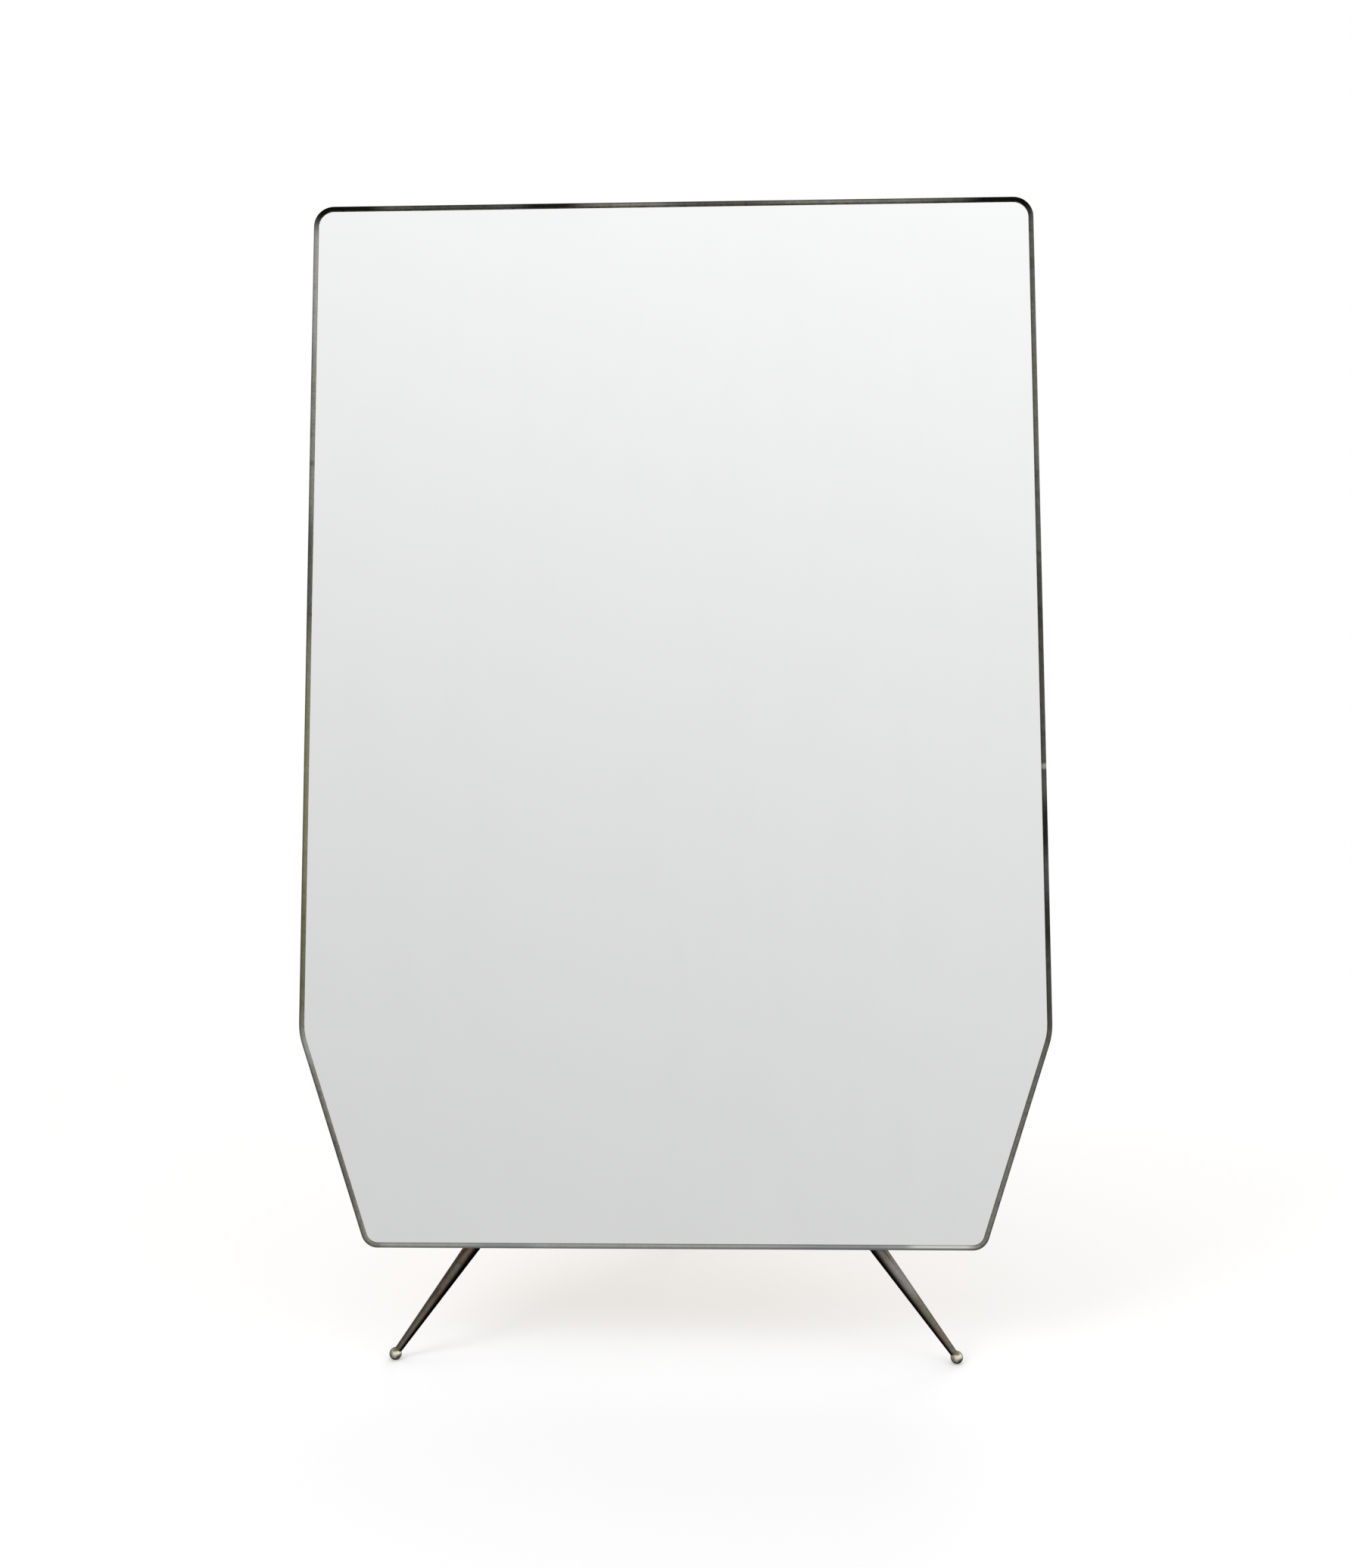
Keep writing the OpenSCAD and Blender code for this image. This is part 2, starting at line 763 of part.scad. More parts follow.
module ball_and_peg() {
    sphere(ball_r, $fn = 96);
    cylinder(peg_end, d = peg_d, $fn = round_fn);
}

// Everything below the floor's level, which flattens the balls where they stand
module below_floor(x, y) {
    translate([x - ball_d, y - ball_d, -2 * ball_d]) cube(2 * ball_d);
}

module front_ball_foot(side) {
    color(bright_brass) difference() {
        on_panel() along_leg(side) ball_and_peg();
        below_floor(side * foot_x, front_foot_back - origin_back);
    }
}

module ball_foot_left() {
    front_ball_foot(-1);
}

module ball_foot_right() {
    front_ball_foot(1);
}

module ball_foot_rear() {
    color(bright_brass) difference() {
        along_prop() ball_and_peg();
        below_floor(0, rear_foot_back - origin_back);
    }
}

// The bracket's plate, its front at z = 0, with rounded corners and bevels along the straight rear edges
module bracket_plate() {
    intersection() {
        translate([0, 0, -bracket_t])
            linear_extrude(bracket_t) polygon(rounded(box_corners(bracket_w, bracket_h, bracket_r)));
        bevelled_block(bracket_w, -bracket_h / 2, bracket_h / 2, bracket_t, bracket_bevel, bracket_bevel);
    }
}

// An ear of the bracket, round about the pin and sunk a little into the plate
module ear() {
    rotate([90, 0, 90]) linear_extrude(ear_t, center = true) {
        circle(ear_r, $fn = round_fn);
        polygon([
            [-ear_r, 0],
            [ear_r, 0],
            [ear_base / 2, pin_stand],
            [ear_base / 2, pin_stand + cut],
            [-ear_base / 2, pin_stand + cut],
            [-ear_base / 2, pin_stand]
        ]);
    }
}

// The slanted root that joins an ear's outer face to the plate
module ear_foot() {
    rotate([90, 0, 0]) linear_extrude(ear_base, center = true) polygon([
        [0, pin_stand - ear_root],
        [ear_t / 2, pin_stand - ear_root],
        [ear_t / 2 + ear_root, pin_stand],
        [ear_t / 2 + ear_root, pin_stand + cut],
        [0, pin_stand + cut]
    ]);
}

module hinge_bracket() {
    color(brass) difference() {
        at_hinge() {
            translate([0, 0, pin_stand + bracket_t]) bracket_plate();
            for (half_turn = [0, 180]) {
                rotate([0, 0, half_turn]) translate([ear_in + ear_t / 2, 0, 0]) {
                    ear();
                    ear_foot();
                }
            }
        }
        at_hinge() rotate([0, 90, 0])
            cylinder(2 * ear_out + 2 * cut, r = pin_d / 2 + fit, center = true, $fn = round_fn);
        on_panel() at_bracket_screws() screw_hole(wood_screw_head_d, wood_screw_d, bracket_screw_l);
    }
}

module bracket_screws() {
    color(steel) on_panel() at_bracket_screws() screw(wood_screw_head_d, wood_screw_d, bracket_screw_l);
}

// A low dome on a short straight edge, its base at z = 0
module dome(d, h, edge) {
    cap = h - edge;
    r = (pow(d / 2, 2) + pow(cap, 2)) / (2 * cap);
    intersection() {
        cylinder(h, d = d, $fn = round_fn);
        translate([0, 0, h - r]) sphere(r, $fn = 96);
    }
}

module hinge_pin() {
    in_head = pin_head_h / 2;
    past_ear = washer_t + nut_h + pin_past_nut;
    color(steel) at_hinge() rotate([0, 90, 0]) difference() {
        union() {
            translate([0, 0, -ear_out - in_head])
                cylinder(in_head + 2 * ear_out + past_ear, d = pin_d, $fn = round_fn);
            translate([0, 0, -ear_out]) rotate([180, 0, 0]) dome(pin_head_d, pin_head_h, dome_edge);
        }
        translate([-pin_head_d / 2, -slot_w / 2, -ear_out - pin_head_h - cut])
            cube([pin_head_d, slot_w, slot_h + cut + dome_edge]);
    }
}

module hinge_washer() {
    color(steel) at_hinge() rotate([0, 90, 0]) translate([0, 0, ear_out]) difference() {
        cylinder(washer_t, d = washer_d, $fn = round_fn);
        translate([0, 0, -cut]) cylinder(washer_t + 2 * cut, r = pin_d / 2 + fit, $fn = round_fn);
    }
}

module hinge_nut() {
    across_flats = nut_d * cos(30);
    color(steel) at_hinge() rotate([0, 90, 0]) translate([0, 0, ear_out + washer_t]) difference() {
        union() {
            cylinder(nut_h, d = nut_d, $fn = 6);
            translate([0, 0, nut_h - dome_edge])
                dome(across_flats - nut_step, nut_dome_h + dome_edge, 2 * dome_edge);
        }
        translate([0, 0, -cut])
            cylinder(nut_h + pin_past_nut + end_gap + cut, r = pin_d / 2 + fit, $fn = round_fn);
    }
}

// The knuckle's side view: an eye round the pin, a neck down to the collar and a heel against the plate
module knuckle_outline() {
    reach = pin_stand - heel_gap;
    circle(knuckle_r, $fn = round_fn);
    translate([-knuckle_r + cut, -collar_drop - collar_l / 2])
        square([2 * (knuckle_r - cut), collar_drop + collar_l / 2]);
    rotate(-fold_angle) polygon([
        [0, 0],
        [knuckle_r * cos(45), knuckle_r * sin(45)],
        [-reach / 2, heel_h],
        [heel_bevel - reach, heel_h],
        [-reach, heel_h - heel_bevel],
        [-reach, 0]
    ]);
}

// The collar that the rear leg's tube butts against, its lower face at z = 0
module collar() {
    rotate_extrude($fn = 96) polygon([
        [0, 0],
        [rear_top_d / 2, 0],
        [rear_top_d / 2, collar_l - collar_bevel],
        [rear_top_d / 2 - collar_bevel, collar_l],
        [0, collar_l]
    ]);
}

module rear_leg_knuckle() {
    color(brass) along_prop() translate([0, 0, prop_l]) difference() {
        union() {
            rotate([90, 0, 90]) linear_extrude(knuckle_t, center = true) knuckle_outline();
            translate([0, 0, -collar_drop - collar_l]) collar();
            translate([0, 0, -collar_drop - collar_l - spigot_l])
                cylinder(spigot_l + collar_l / 2, r = spigot_r, $fn = round_fn);
        }
        rotate([0, 90, 0]) cylinder(2 * ear_out, r = pin_d / 2 + run_gap, center = true, $fn = round_fn);
        translate([0, 0, cross_pin_s - prop_l]) rotate([0, 90, 0])
            cylinder(rear_top_d + 2 * cut, r = cross_pin_d / 2 + fit, center = true, $fn = round_fn);
    }
}

// Outer radius of the rear leg at a distance from the ball's centre
function rear_r(s) = (rear_tip_d + (rear_top_d - rear_tip_d) * s / tube_top) / 2;

module rear_leg_tube() {
    start = leg_start(rear_tip_d / 2);
    step = tube_top - spigot_l - end_gap;
    hollow = peg_end + solid_tip_l;
    color(brass) along_prop() difference() {
        rotate_extrude($fn = 96) polygon([
            [0, start],
            [rear_r(start), start],
            [rear_r(tube_top), tube_top],
            [spigot_r + fit, tube_top],
            [spigot_r + fit, step],
            [rear_r(step) - tube_wall, step],
            [rear_r(hollow) - tube_wall, hollow],
            [0, hollow]
        ]);
        ball_socket();
        translate([0, 0, cross_pin_s]) rotate([0, 90, 0])
            cylinder(rear_top_d + 2 * cut, r = cross_pin_d / 2 + fit, center = true, $fn = round_fn);
    }
}

module knuckle_cross_pin() {
    color(brass) along_prop() translate([0, 0, cross_pin_s]) rotate([0, 90, 0])
        cylinder(2 * rear_r(cross_pin_s) - end_gap, d = cross_pin_d, center = true, $fn = round_fn);
}

frame_upper();
frame_lower();
splice_plate_left();
splice_plate_right();
splice_screws();
frame_screws();
mirror_glass();
setting_blocks();
backing_felt();
back_board();
leg_rail();
rail_screws();
cross_batten();
batten_screws();
leg_plate_left();
leg_plate_right();
leg_plate_screws();
leg_stud_left();
leg_stud_right();
front_leg_left();
front_leg_right();
ball_foot_left();
ball_foot_right();
hinge_bracket();
bracket_screws();
hinge_pin();
hinge_washer();
hinge_nut();
rear_leg_knuckle();
knuckle_cross_pin();
rear_leg_tube();
ball_foot_rear();
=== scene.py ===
# %% [markdown]
# A full-length standing mirror
# The real object is a large sheet of silvered glass on a plywood board, held by a thin crowned rim
# of darkened brass. It stands on two splayed brass legs and leans back against a third, which is
# hinged behind it. The shapes come from the imported model; this notebook gives them a studio, a
# camera and their finishes. The first cell loads the model.

# %% Load the model
import math

import bmesh
import bpy
from mathutils import Matrix, Vector


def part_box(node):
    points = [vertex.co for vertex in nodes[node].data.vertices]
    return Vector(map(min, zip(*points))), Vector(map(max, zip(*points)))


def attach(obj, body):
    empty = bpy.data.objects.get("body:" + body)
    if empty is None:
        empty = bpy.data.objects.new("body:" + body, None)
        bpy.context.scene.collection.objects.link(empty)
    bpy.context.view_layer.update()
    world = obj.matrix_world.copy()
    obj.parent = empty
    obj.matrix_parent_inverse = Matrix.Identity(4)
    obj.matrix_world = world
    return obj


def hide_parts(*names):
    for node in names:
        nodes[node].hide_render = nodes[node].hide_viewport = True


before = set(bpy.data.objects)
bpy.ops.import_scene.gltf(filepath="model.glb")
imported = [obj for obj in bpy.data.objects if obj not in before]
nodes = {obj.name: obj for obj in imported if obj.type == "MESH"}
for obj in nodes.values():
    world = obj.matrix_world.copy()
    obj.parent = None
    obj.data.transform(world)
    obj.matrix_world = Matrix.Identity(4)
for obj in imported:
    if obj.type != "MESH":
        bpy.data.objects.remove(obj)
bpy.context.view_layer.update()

# %% [markdown]
# The camera
# The photograph was taken from a little over two metres, from about the height of the mirror's
# middle, turned slightly to the left and tipped slightly down. A camera in Blender looks along its
# own -Z with +Y up, so it is first laid level, looking along +Y, and then turned, tipped and
# rolled. The lens is worked out from the focal length in pixels and the width of the picture,
# which makes it easy to compare the photograph with the render.

# %% Place the camera
PHOTO_WIDTH = 1786
FOCAL_PIXELS = 2199
SENSOR_WIDTH = 36
CAMERA_PLACE = Vector((0.077, -2.503, 0.922))
TO_LEVEL = math.radians(90)
YAW = math.radians(-1.81)
PITCH = math.radians(-3.24)
ROLL = math.radians(-0.32)

camera_data = bpy.data.cameras.new("camera")
camera_data.sensor_fit = "HORIZONTAL"
camera_data.sensor_width = SENSOR_WIDTH
camera_data.lens = SENSOR_WIDTH * FOCAL_PIXELS / PHOTO_WIDTH
camera = bpy.data.objects.new("camera", camera_data)
bpy.context.scene.collection.objects.link(camera)

level = Matrix.Rotation(TO_LEVEL, 4, "X")
turned = Matrix.Rotation(-YAW, 4, "Z")
tipped = Matrix.Rotation(PITCH, 4, "X")
rolled = Matrix.Rotation(ROLL, 4, "Z")
camera.matrix_world = Matrix.Translation(CAMERA_PLACE) @ turned @ level @ tipped @ rolled
bpy.context.scene.camera = camera
print("lens:", round(camera_data.lens, 2), "mm")

# %% [markdown]
# Shader sums written as Python
# A finish is mostly arithmetic on patterns: this much grain, less there, darker where the two
# meet. Wiring that by hand takes dozens of Math nodes. The class below wraps the output of a node,
# and its operators add the Math nodes themselves, so a finish can be read as a formula. Colours
# don't go through Math nodes, which would turn them grey: they are blended with Mix nodes.

# %% Wrap a node's output
class Value:
    def __init__(self, tree, output):
        self.tree = tree
        self.output = output

    def math(self, operation, *others):
        return self.sum_of(operation, self, *others)

    def sum_of(self, operation, *terms):
        inputs = dict(enumerate(terms))
        return add_node(self.tree, "ShaderNodeMath", {"operation": operation}, inputs)

    def __add__(self, other):
        return self.math("ADD", other)

    def __radd__(self, other):
        return self.math("ADD", other)

    def __sub__(self, other):
        return self.math("SUBTRACT", other)

    def __rsub__(self, other):
        return self.sum_of("SUBTRACT", other, self)

    def __mul__(self, other):
        return self.math("MULTIPLY", other)

    def __rmul__(self, other):
        return self.math("MULTIPLY", other)

    def __abs__(self):
        return self.math("ABSOLUTE")


# %% Add any node
def add_node(tree, kind, settings=None, inputs=None, output=0):
    node = tree.nodes.new(kind)
    for name, setting in (settings or {}).items():
        setattr(node, name, setting)
    for name, value in (inputs or {}).items():
        if isinstance(value, Value):
            tree.links.new(value.output, node.inputs[name])
        else:
            node.inputs[name].default_value = value
    return Value(tree, node.outputs[output]) if node.outputs else None


trial = bpy.data.materials.new("trial")
trial.use_nodes = True
left_over = 1 - add_node(trial.node_tree, "ShaderNodeTexNoise") * 0.5
print("1 - noise * 0.5 ends in a Math node set to", left_over.output.node.operation)
bpy.data.materials.remove(trial)

# %% [markdown]
# Patterns
# Every finish here is made of a few patterns: a soft noise, a noise drawn out along one direction
# for wood and turned metal, a step that turns a soft pattern into patches, and a blend of two
# colours. All the patterns read Object coordinates, which are real metres in this model, so a
# noise of scale 200 has features of about 5 mm. A finish is laid on in layers, as paint is, and
# each layer is given by its mask, by how much it covers there, and by its tone. A Mix node has
# sockets of the same names for numbers, vectors and colours, so its colour sockets are numbered.

# %% Places and noises
def object_place(tree, stretch=(1, 1, 1), turn=(0, 0, 0)):
    place = add_node(tree, "ShaderNodeTexCoord", output="Object")
    inputs = {"Vector": place, "Rotation": turn, "Scale": stretch}
    return add_node(tree, "ShaderNodeMapping", None, inputs)


def vector_math(operation, place, by=(0, 0, 0), output="Vector"):
    inputs = {0: place, 1: by}
    return add_node(place.tree, "ShaderNodeVectorMath", {"operation": operation}, inputs, output)


def shifted(place, by):
    return vector_math("ADD", place, by)


def noise(place, scale, detail=3, roughness=0.55, warp=0):
    inputs = {"Vector": place, "Scale": scale, "Detail": detail,
              "Roughness": roughness, "Distortion": warp}
    return add_node(place.tree, "ShaderNodeTexNoise", None, inputs)


def axes(place):
    inputs = {"Vector": place}
    return [add_node(place.tree, "ShaderNodeSeparateXYZ", None, inputs, k) for k in range(3)]


# %% Patches and blends
FIRST_COLOUR = 6
SECOND_COLOUR = 7
MIXED_COLOUR = 2


def patches(value, low, high):
    inputs = {"Value": value, "From Min": low, "From Max": high}
    return add_node(value.tree, "ShaderNodeMapRange", {"interpolation_type": "SMOOTHSTEP"}, inputs)


def blend(factor, first, second):
    inputs = {0: factor}
    for socket, colour in ((FIRST_COLOUR, first), (SECOND_COLOUR, second)):
        inputs[socket] = colour if isinstance(colour, Value) else (*colour, 1)
    return add_node(factor.tree, "ShaderNodeMix", {"data_type": "RGBA"}, inputs, MIXED_COLOUR)


def layered(colour, *layers):
    for mask, share, tone in layers:
        colour = blend(mask * share, colour, tone)
    return colour


# %% Start and close a finish
def start_finish(name):
    material = bpy.data.materials.new(name)
    material.use_nodes = True
    return material, material.node_tree


def close_finish(tree, colour, roughness, height=None, depth=0, metallic=0.0, slant=(1, 1, 1)):
    shader = tree.nodes["Principled BSDF"]
    shader.inputs["Metallic"].default_value = metallic
    shader.inputs["Specular Tint"].default_value = (*slant, 1)
    tree.links.new(colour.output, shader.inputs["Base Color"])
    tree.links.new(roughness.output, shader.inputs["Roughness"])
    if height is not None:
        raised = add_node(tree, "ShaderNodeBump", None, {"Height": height, "Distance": depth})
        tree.links.new(raised.output, shader.inputs["Normal"])


def paint_over(material, factor, colour):
    base = material.node_tree.nodes["Principled BSDF"].inputs["Base Color"]
    under = Value(material.node_tree, base.links[0].from_socket)
    material.node_tree.links.new(blend(factor, under, colour).output, base)


def dress(material, *names):
    for name in names:
        slots = nodes[name].data.materials
        slots.clear()
        slots.append(material)
    print(material.name, "-", len(material.node_tree.nodes), "nodes - on", ", ".join(names))


# %% [markdown]
# The studio
# The photograph's mirror shows nothing but a soft grey that darkens from top to bottom, so the
# room in front of it is a plain light wall that falls off towards the floor. The world is drawn in
# three ways: rays from the camera see plain white, rays that a surface reflects see that soft
# wall, and everything else gets one even light. The reflected room has a dimmer left wall, ceiling
# and floor, which draw the thin brass edges. Its low corners are dimmer still, the right one above
# all, and they blacken the lower side of each splayed leg.

# %% Tell the kinds of ray apart
def ray(tree, kind):
    return add_node(tree, "ShaderNodeLightPath", output=kind)


def bounced(tree):
    return ray(tree, "Is Glossy Ray").math("MAXIMUM", ray(tree, "Is Transmission Ray"))


# %% [markdown]
# The reflected room
# A ray's direction is a vector of length one, so each of its three parts is the sine of an angle.
# Each dim side of the room is given as the sine at which it starts to dim, the sine at which it
# stops, and the share of light that is left there. A ray into a low corner goes sideways and down
# at once, so a corner is given by the product of the two sines.

# %% Paint the room that the mirror sees
WALL_AT_HORIZON = 0.738
WALL_RISE = 0.354
WALL_CURVE = 0.434
SIDE_TILT = 0.15
LEFT_WALL = (0.50, 0.92, 0.45)
CEILING = (0.52, 0.86, 0.30)
FLOOR = (0.16, 0.60, 0.62)
LEFT_CORNER = (0.00, 0.38, 0.75)
RIGHT_CORNER = (0.00, 0.38, 0.24)

world = bpy.data.worlds.new("studio")
world.use_nodes = True
bpy.context.scene.world = world
room = world.node_tree
room.nodes.clear()


def dimmed(side, start, end, share_left):
    return 1 - patches(side, start, end) * (1 - share_left)


across, _, up = axes(add_node(room, "ShaderNodeTexCoord", output="Generated"))
wall = (WALL_AT_HORIZON + up * WALL_RISE + up * up * WALL_CURVE) * (1 + across * SIDE_TILT)
walls = wall * dimmed(across * -1, *LEFT_WALL)
below = (up * -1).math("MAXIMUM", 0)
corners = dimmed(across * below, *RIGHT_CORNER) * dimmed(across * below * -1, *LEFT_CORNER)
mirrored_room = walls * dimmed(up, *CEILING) * dimmed(below, *FLOOR) * corners
higher = WALL_AT_HORIZON + WALL_RISE / 2 + WALL_CURVE / 4
print("wall straight ahead:", WALL_AT_HORIZON, "and 30 degrees up:", round(higher, 3))

# %% Build the world
EVEN_LIGHT = 0.80

seen = ray(room, "Is Camera Ray")
mirrored = bounced(room)
other_light = mirrored * mirrored_room + (1 - mirrored) * EVEN_LIGHT
strength = seen + (1 - seen) * other_light
sky_inputs = {"Color": (1, 1, 1, 1), "Strength": strength}
sky = add_node(room, "ShaderNodeBackground", None, sky_inputs)
add_node(room, "ShaderNodeOutputWorld", None, {"Surface": sky})
print("world nodes:", len(room.nodes))

# %% [markdown]
# Lamps
# Three large soft lamps give the wood and the metal a gentle direction without changing how bright
# a colour looks. An area lamp of P watts lights a white surface d metres away to about
# P / (pi * d)^2, so each lamp's power comes from the share of light that it should add. Lamps
# don't show in reflections. The list gives each lamp's place, its width and its share.

# %% Hang the lamps
LAMPS = {
    "key": ((-2.2, -2.6, 2.6), 1.6, 0.22),
    "fill": ((2.4, -1.8, 1.6), 1.8, 0.10),
    "rear": ((1.2, 2.8, 2.4), 1.8, 0.16),
}
LIT_POINT = Vector((0, 0, 0.8))

for name, (place, width, share) in LAMPS.items():
    lamp_data = bpy.data.lights.new(name, "AREA")
    lamp_data.size = width
    lamp = bpy.data.objects.new(name, lamp_data)
    bpy.context.scene.collection.objects.link(lamp)
    towards = LIT_POINT - Vector(place)
    lamp_data.energy = share * (math.pi * towards.length) ** 2
    lamp.location = place
    lamp.rotation_euler = towards.to_track_quat("-Z", "Y").to_euler()
    lamp.visible_glossy = False
    print(name, round(lamp_data.energy, 1), "W")

# %% [markdown]
# The floor
# The mirror stands on white paper. The floor is lit white and keeps the object's soft shadow; a
# little light of its own, for the camera only, lifts it to the same white as the background, and
# further out it fades to that white altogether, so that no horizon shows. Reflected rays pass
# through it and see the studio's wall instead.

# %% Finish for the paper
PAPER = (0.9, 0.9, 0.9, 1)
FADE_FROM = 1.1
FADE_TO = 2.6
CAMERA_LIFT = 0.16


def mix_shaders(tree, factor, first, second):
    return add_node(tree, "ShaderNodeMixShader", None, {0: factor, 1: first, 2: second})


def make_paper():
    material, tree = start_finish("white_paper")
    tree.nodes.clear()
    seen = ray(tree, "Is Camera Ray")
    reach = vector_math("LENGTH", object_place(tree), output="Value")
    paper = add_node(tree, "ShaderNodeBsdfDiffuse", None, {"Color": PAPER})
    lift = add_node(tree, "ShaderNodeEmission", None, {"Strength": seen * CAMERA_LIFT})
    lit = add_node(tree, "ShaderNodeAddShader", None, {0: paper, 1: lift})
    white = add_node(tree, "ShaderNodeEmission", None, {"Strength": 1})
    faded = patches(reach, FADE_FROM, FADE_TO) * seen
    near = mix_shaders(tree, faded, lit, white)
    clear = add_node(tree, "ShaderNodeBsdfTransparent")
    whole = mix_shaders(tree, bounced(tree), near, clear)
    add_node(tree, "ShaderNodeOutputMaterial", None, {"Surface": whole})
    return material


# %% Lay the floor
FLOOR_RADIUS = 12
FLOOR_SIDES = 64


def mesh_object(name, shape):
    mesh = bpy.data.meshes.new(name)
    shape.to_mesh(mesh)
    shape.free()
    thing = bpy.data.objects.new(name, mesh)
    bpy.context.scene.collection.objects.link(thing)
    return thing


disc = bmesh.new()
bmesh.ops.create_circle(disc, cap_ends=True, segments=FLOOR_SIDES, radius=FLOOR_RADIUS)
floor = mesh_object("floor", disc)
floor.data.materials.append(make_paper())
print("floor:", 2 * FLOOR_RADIUS, "m across, fading to white from", FADE_FROM, "m")

# %% [markdown]
# Darkened brass
# The rim and the legs are brass that has been darkened and then handled. A skin of one main tone
# carries redder and bluer clouds a hand's breadth across, black tarnish gathers in small stains,
# and warm bare metal shows in specks where a cloth has rubbed it. Undersides carry painted shade,
# darkened towards black: how far the surface's normal points down tells where that shade starts. On
# pieces whose edges were eased, an attribute named worn marks those edges, and there the bare metal
# shows most. The clouds come from slow noises, the stains and specks from quicker ones, and the
# stains make the surface duller too. A clean metal turns mirror-bright where it is seen at a slant;
# a tarnished one doesn't, and a low specular tint keeps its outline dark.

# %% Tarnish, wear and painted shade
SOOT = (0.022, 0.020, 0.016)
BLACKEST = (0.006, 0.006, 0.005)
MOTTLED = (0.130, 0.120, 0.090)
BARE = (0.560, 0.450, 0.270)
DULL_SLANT = (0.16, 0.15, 0.13)
EDGE_WEAR_SCALE = 150
CLOUD_FRAY_SCALE = 14
CLOUD_FRAY = 0.5
CLOUD_FULL = 0.55
CLOUD_GONE = 1.3


# Painted shade: how far a face's normal points down sets how dark it is painted.
def painted_underside_shade(tree, start, end):
    facing = add_node(tree, "ShaderNodeTexCoord", output="Normal")
    return patches(axes(facing)[2] * -1, start, end)


def worn_edges(tree, place):
    edge = add_node(tree, "ShaderNodeAttribute", {"attribute_name": "worn"}, output="Fac")
    return edge * patches(noise(place, EDGE_WEAR_SCALE, 3, 0.6), 0.30, 0.55)


def cloud_at(place, centre, radius):
    seen_flat = vector_math("MULTIPLY", place, (1, 0, 1))
    away = vector_math("DISTANCE", seen_flat, (centre[0], 0, centre[1]), "Value")
    ragged = away + noise(place, CLOUD_FRAY_SCALE, 3) * (radius * CLOUD_FRAY)
    return 1 - patches(ragged, radius * CLOUD_FULL, radius * CLOUD_GONE)


# %% Finish for darkened brass
RED_CLOUD_SCALE = 9
BLUE_CLOUD_SCALE = 12
STAIN_SCALE = 60
MOTTLE_SCALE = 130
SPECK_SCALE = 240
GRAIN_SCALE = 420
# Share of the painted shade on undersides.
UNDERSIDE_SHADE_SHARE = 0.95
SKIN_DEPTH = 0.00008


def make_darkened_brass(name, seed, tones, stains=0.65, specks=0.28, clouds=1.0,
                        underside_shade=(-0.10, 0.32), marks_and_painted_light=(), rings_along=None):
    material, tree = start_finish(name)
    place = object_place(tree)
    spot = shifted(place, (seed, seed * 2, 0))
    main, red, blue = tones
    red_cloud = patches(noise(spot, RED_CLOUD_SCALE * clouds, 4, 0.6, 0.6), 0.50, 0.60)
    blue_cloud = patches(noise(spot, BLUE_CLOUD_SCALE * clouds, 4, 0.6, 0.4), 0.55, 0.66)
    stain = patches(noise(spot, STAIN_SCALE, 5, 0.65), 0.52, 0.74)
    mottle = patches(noise(spot, MOTTLE_SCALE, 4, 0.65), 0.40, 0.64)
    grain = noise(spot, GRAIN_SCALE, 3, 0.6)
    rubbed = patches(noise(spot, SPECK_SCALE, 4, 0.7), 0.62, 0.74)
    worn = worn_edges(tree, place)
    colour = layered(main, (red_cloud, 0.9, red), (blue_cloud, 0.8, blue), (mottle, 0.3, MOTTLED),
                     (rubbed, specks, BARE), (stain, stains, SOOT),
                     (patches(grain, 0.3, 0.7), 0.2, SOOT))
    for centre, radius, share, tone in marks_and_painted_light:
        colour = layered(colour, (cloud_at(place, centre, radius), share, tone))
    # Painted shade on the undersides, darkened towards black, then the worn bare edges.
    under = painted_underside_shade(tree, *underside_shade)
    colour = layered(colour, (under, UNDERSIDE_SHADE_SHARE, BLACKEST), (worn, 0.8, BARE))
    height = grain + stain * 0.8 + mottle * 0.6
    if rings_along is not None:
        height = height + turning_rings(place, rings_along) * 0.7
    roughness = 0.30 + grain * 0.16 + stain * 0.14 - worn * 0.08
    close_finish(tree, colour, roughness, height, SKIN_DEPTH, 1.0, DULL_SLANT)
    return material
